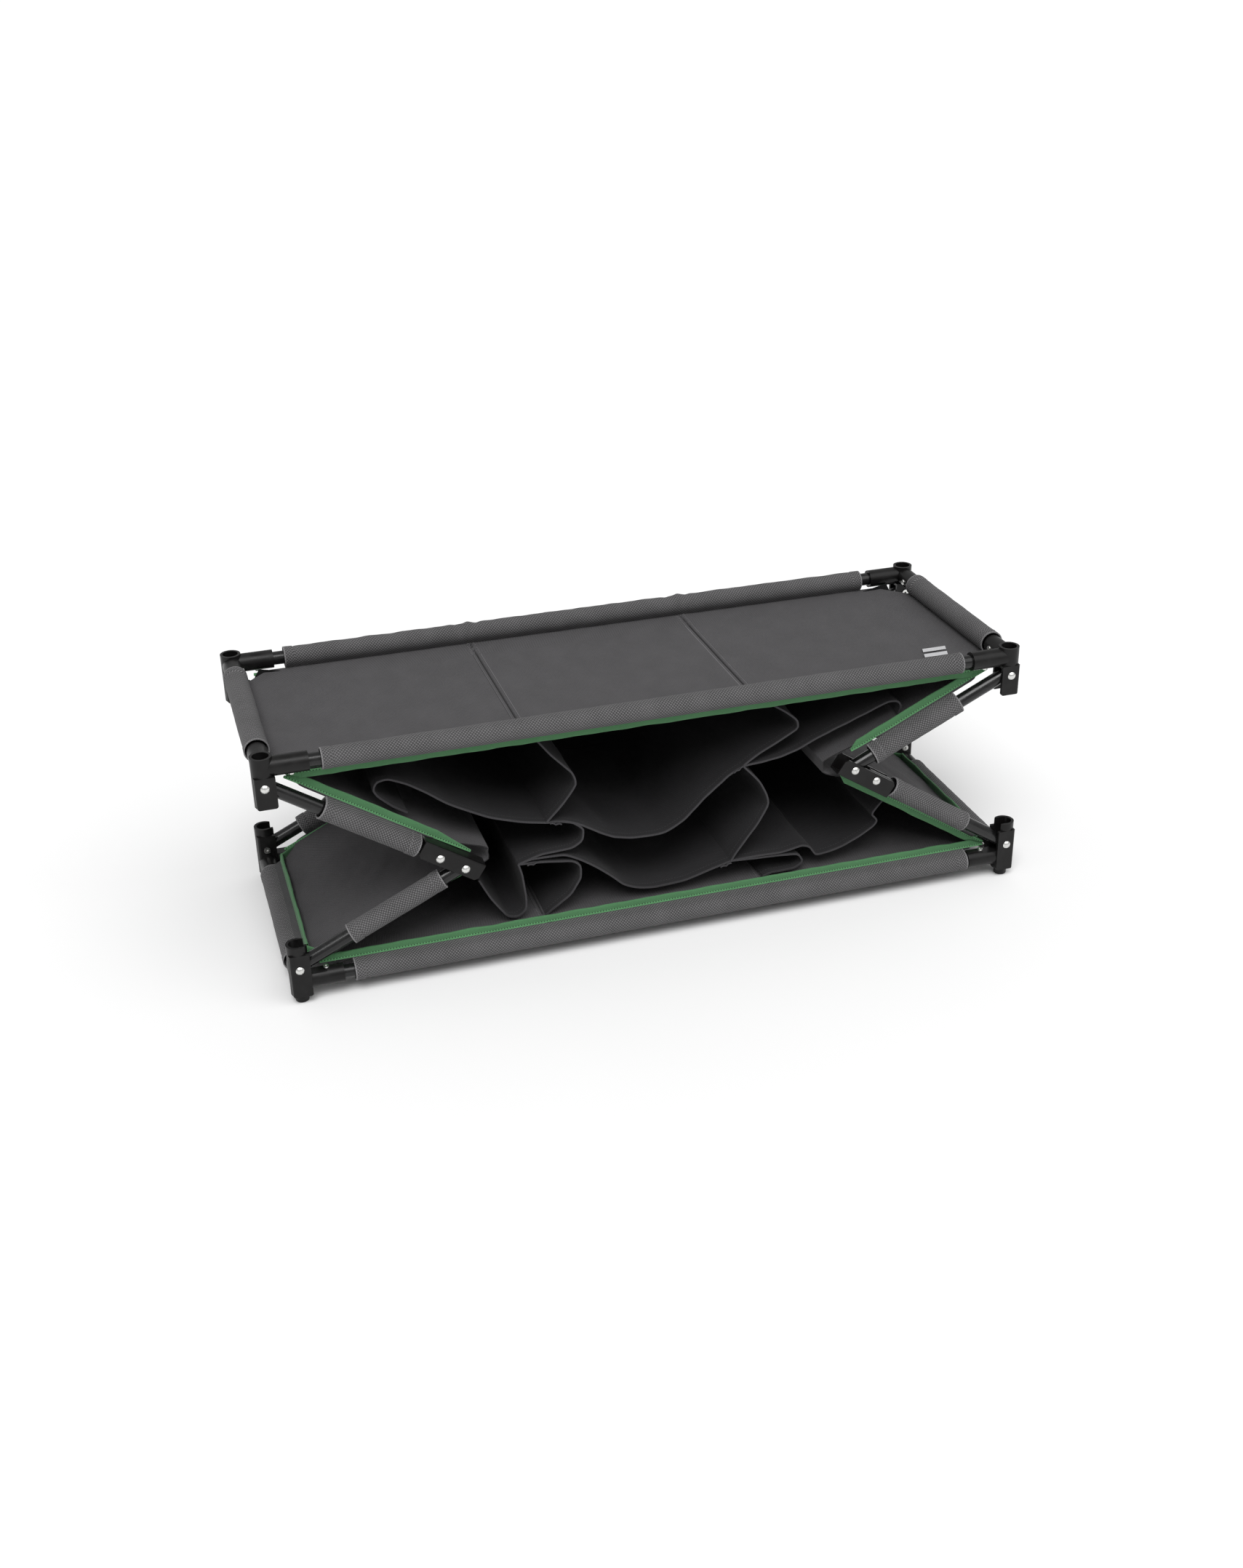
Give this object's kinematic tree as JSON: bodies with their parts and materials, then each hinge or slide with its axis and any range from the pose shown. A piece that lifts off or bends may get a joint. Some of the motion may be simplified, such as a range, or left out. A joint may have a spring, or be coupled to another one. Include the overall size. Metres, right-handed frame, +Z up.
{
  "type": "folding camping cupboard",
  "caption": "Half-folded stackable fabric cupboard: two tube frames joined by knee-jointed legs, with sleeved covers and a folding shelf organiser.",
  "frame": {"origin": "on the floor, in the middle of the four foot pegs", "axes": "+X along the width to the right as seen from the open front, +Y to the back, +Z up"},
  "size_m": [0.9072, 0.3192, 0.3072],
  "materials": {
    "fabric": "woven polyester, dark grey",
    "binding": "woven edge tape, green",
    "fittings": "moulded, satin black",
    "tubes": "gloss black powder coat",
    "rivets": "bright zinc, domed heads"
  },
  "bodies": {
    "bottom_frame": {"bottom_binding": "binding", "bottom_corner_back_left": "fittings", "bottom_corner_back_right": "fittings", "bottom_corner_front_left": "fittings", "bottom_corner_front_right": "fittings", "bottom_cover": "fabric", "bottom_rivets_and_screws": "rivets", "bottom_side_tubes": "tubes", "bottom_tube_back": "tubes", "bottom_tube_front": "tubes", "back_panel_bottom": "fabric"},
    "top_frame": {"top_binding": "binding", "top_corner_back_left": "fittings", "top_corner_back_right": "fittings", "top_corner_front_left": "fittings", "top_corner_front_right": "fittings", "top_cover": "fabric", "top_rivets_and_screws": "rivets", "top_side_tubes": "tubes", "top_tube_back": "tubes", "top_tube_front": "tubes", "back_panel_top": "fabric"},
    "left_lower_legs": {"left_lower_leg_back": "tubes", "left_lower_leg_front": "tubes", "left_lower_side_panel": "fabric"},
    "left_upper_legs": {"left_knuckle_back": "fittings", "left_knuckle_front": "fittings", "left_knuckle_rivets": "rivets", "left_upper_leg_back": "tubes", "left_upper_leg_front": "tubes", "left_upper_side_panel": "fabric"},
    "right_lower_legs": {"right_knuckle_back": "fittings", "right_knuckle_front": "fittings", "right_knuckle_rivets": "rivets", "right_lower_leg_back": "tubes", "right_lower_leg_front": "tubes", "right_lower_side_panel": "fabric"},
    "right_upper_legs": {"right_upper_leg_back": "tubes", "right_upper_leg_front": "tubes", "right_upper_side_panel": "fabric"},
    "left_divider_bottom_lower": {"left_divider_bottom_row_lower": "fabric"},
    "left_divider_bottom_upper": {"left_divider_bottom_row_upper": "fabric"},
    "left_divider_middle_lower": {"left_divider_middle_row_lower": "fabric"},
    "left_divider_middle_upper": {"left_divider_middle_row_upper": "fabric"},
    "left_divider_top_lower": {"left_divider_top_row_lower": "fabric"},
    "left_divider_top_upper": {"left_divider_top_row_upper": "fabric"},
    "right_divider_bottom_lower": {"right_divider_bottom_row_lower": "fabric"},
    "right_divider_bottom_upper": {"right_divider_bottom_row_upper": "fabric"},
    "right_divider_middle_lower": {"right_divider_middle_row_lower": "fabric"},
    "right_divider_middle_upper": {"right_divider_middle_row_upper": "fabric"},
    "right_divider_top_lower": {"right_divider_top_row_lower": "fabric"},
    "right_divider_top_upper": {"right_divider_top_row_upper": "fabric"},
    "lower_shelf": {"lower_shelf_middle": "fabric"},
    "upper_shelf": {"upper_shelf_middle": "fabric", "back_panel_middle": "fabric"},
    "lower_shelf_left_span": {"lower_shelf_left": "fabric"},
    "lower_shelf_right_span": {"lower_shelf_right": "fabric"},
    "upper_shelf_left_span": {"upper_shelf_left": "fabric"},
    "upper_shelf_right_span": {"upper_shelf_right": "fabric"}
  },
  "joints": [
    {"name": "fold", "type": "hinge", "parent": "bottom_frame", "child": "left_lower_legs", "pos_m": [-0.435, 0, 0.0445], "axis": [0, -1, 0], "range_deg": [-10.5, 64.5], "deforming": ["back_panel_bottom", "back_panel_middle", "back_panel_top", "lower_shelf_left", "lower_shelf_right", "upper_shelf_left", "upper_shelf_right"]},
    {"name": "left_knee", "type": "hinge", "parent": "left_lower_legs", "child": "left_upper_legs", "pos_m": [-0.24094, 0, 0.13706], "axis": [0, -1, 0], "range_deg": [-121.2, 19.73]},
    {"name": "left_top_pivot", "type": "hinge", "parent": "left_upper_legs", "child": "top_frame", "pos_m": [-0.44822, 0, 0.27322], "axis": [0, -1, 0], "range_deg": [-9.23, 56.7]},
    {"name": "right_bottom_pivot", "type": "hinge", "parent": "bottom_frame", "child": "right_lower_legs", "pos_m": [0.435, 0, 0.0445], "axis": [0, -1, 0], "range_deg": [-56.7, 9.23]},
    {"name": "right_knee", "type": "hinge", "parent": "right_lower_legs", "child": "right_upper_legs", "pos_m": [0.22772, 0, 0.18066], "axis": [0, -1, 0], "range_deg": [-19.73, 121.2]},
    {"name": "left_divider_bottom_foot", "type": "hinge", "parent": "bottom_frame", "child": "left_divider_bottom_lower", "pos_m": [-0.147, 0, 0.046], "axis": [0, -1, 0], "range_deg": [-10.5, 64.5]},
    {"name": "left_divider_bottom_bend", "type": "hinge", "parent": "left_divider_bottom_lower", "child": "left_divider_bottom_upper", "pos_m": [-0.08231, 0, 0.07685], "axis": [0, -1, 0], "range_deg": [-121.2, 19.73]},
    {"name": "lower_shelf_seam", "type": "hinge", "parent": "left_divider_bottom_upper", "child": "lower_shelf", "pos_m": [-0.15141, 0, 0.12224], "axis": [0, -1, 0], "range_deg": [-9.23, 56.7]},
    {"name": "left_divider_middle_foot", "type": "hinge", "parent": "lower_shelf", "child": "left_divider_middle_lower", "pos_m": [-0.15141, 0, 0.12224], "axis": [0, -1, 0], "range_deg": [-10.5, 64.5]},
    {"name": "left_divider_middle_bend", "type": "hinge", "parent": "left_divider_middle_lower", "child": "left_divider_middle_upper", "pos_m": [-0.08672, 0, 0.15309], "axis": [0, -1, 0], "range_deg": [-121.2, 19.73]},
    {"name": "upper_shelf_seam", "type": "hinge", "parent": "left_divider_middle_upper", "child": "upper_shelf", "pos_m": [-0.15582, 0, 0.19848], "axis": [0, -1, 0], "range_deg": [-9.23, 56.7]},
    {"name": "left_divider_top_foot", "type": "hinge", "parent": "upper_shelf", "child": "left_divider_top_lower", "pos_m": [-0.15582, 0, 0.19848], "axis": [0, -1, 0], "range_deg": [-10.5, 64.5]},
    {"name": "left_divider_top_bend", "type": "hinge", "parent": "left_divider_top_lower", "child": "left_divider_top_upper", "pos_m": [-0.09113, 0, 0.22933], "axis": [0, -1, 0], "range_deg": [-121.2, 19.73]},
    {"name": "right_divider_bottom_foot", "type": "hinge", "parent": "bottom_frame", "child": "right_divider_bottom_lower", "pos_m": [0.125, 0, 0.046], "axis": [0, -1, 0], "range_deg": [-10.5, 64.5]},
    {"name": "right_divider_bottom_bend", "type": "hinge", "parent": "right_divider_bottom_lower", "child": "right_divider_bottom_upper", "pos_m": [0.18968, 0, 0.07685], "axis": [0, -1, 0], "range_deg": [-121.2, 19.73]},
    {"name": "right_divider_middle_foot", "type": "hinge", "parent": "lower_shelf", "child": "right_divider_middle_lower", "pos_m": [0.12059, 0, 0.12224], "axis": [0, -1, 0], "range_deg": [-10.5, 64.5]},
    {"name": "right_divider_middle_bend", "type": "hinge", "parent": "right_divider_middle_lower", "child": "right_divider_middle_upper", "pos_m": [0.18528, 0, 0.15309], "axis": [0, -1, 0], "range_deg": [-121.2, 19.73]},
    {"name": "right_divider_top_foot", "type": "hinge", "parent": "upper_shelf", "child": "right_divider_top_lower", "pos_m": [0.11618, 0, 0.19848], "axis": [0, -1, 0], "range_deg": [-10.5, 64.5]},
    {"name": "right_divider_top_bend", "type": "hinge", "parent": "right_divider_top_lower", "child": "right_divider_top_upper", "pos_m": [0.18087, 0, 0.22933], "axis": [0, -1, 0], "range_deg": [-121.2, 19.73]},
    {"name": "lower_shelf_left_seam", "type": "hinge", "parent": "lower_shelf", "child": "lower_shelf_left_span", "pos_m": [-0.15141, 0, 0.12224], "axis": [0, -1, 0], "range_deg": [-19.5, 3.18]},
    {"name": "lower_shelf_right_seam", "type": "hinge", "parent": "lower_shelf", "child": "lower_shelf_right_span", "pos_m": [0.12059, 0, 0.12224], "axis": [0, -1, 0], "range_deg": [-2.93, 18]},
    {"name": "upper_shelf_left_seam", "type": "hinge", "parent": "upper_shelf", "child": "upper_shelf_left_span", "pos_m": [-0.15582, 0, 0.19848], "axis": [0, -1, 0], "range_deg": [-3.01, 18.5]},
    {"name": "upper_shelf_right_seam", "type": "hinge", "parent": "upper_shelf", "child": "upper_shelf_right_span", "pos_m": [0.11618, 0, 0.19848], "axis": [0, -1, 0], "range_deg": [-17, 2.77]}
  ],
  "couplings": [
    {"joint": "left_knee", "follows": "fold", "ratio": -1.8791},
    {"joint": "left_top_pivot", "follows": "fold", "ratio": 0.87907},
    {"joint": "right_bottom_pivot", "follows": "fold", "ratio": -0.87907},
    {"joint": "right_knee", "follows": "fold", "ratio": 1.8791},
    {"joint": "left_divider_bottom_foot", "follows": "fold", "ratio": 1},
    {"joint": "left_divider_bottom_bend", "follows": "fold", "ratio": -1.8791},
    {"joint": "lower_shelf_seam", "follows": "fold", "ratio": 0.87907},
    {"joint": "left_divider_middle_foot", "follows": "fold", "ratio": 1},
    {"joint": "left_divider_middle_bend", "follows": "fold", "ratio": -1.8791},
    {"joint": "upper_shelf_seam", "follows": "fold", "ratio": 0.87907},
    {"joint": "left_divider_top_foot", "follows": "fold", "ratio": 1},
    {"joint": "left_divider_top_bend", "follows": "fold", "ratio": -1.8791},
    {"joint": "right_divider_bottom_foot", "follows": "fold", "ratio": 1},
    {"joint": "right_divider_bottom_bend", "follows": "fold", "ratio": -1.8791},
    {"joint": "right_divider_middle_foot", "follows": "fold", "ratio": 1},
    {"joint": "right_divider_middle_bend", "follows": "fold", "ratio": -1.8791},
    {"joint": "right_divider_top_foot", "follows": "fold", "ratio": 1},
    {"joint": "right_divider_top_bend", "follows": "fold", "ratio": -1.8791},
    {"joint": "lower_shelf_left_seam", "follows": "fold", "ratio": -0.30233},
    {"joint": "lower_shelf_right_seam", "follows": "fold", "ratio": 0.27907},
    {"joint": "upper_shelf_left_seam", "follows": "fold", "ratio": 0.28682},
    {"joint": "upper_shelf_right_seam", "follows": "fold", "ratio": -0.26357}
  ]
}
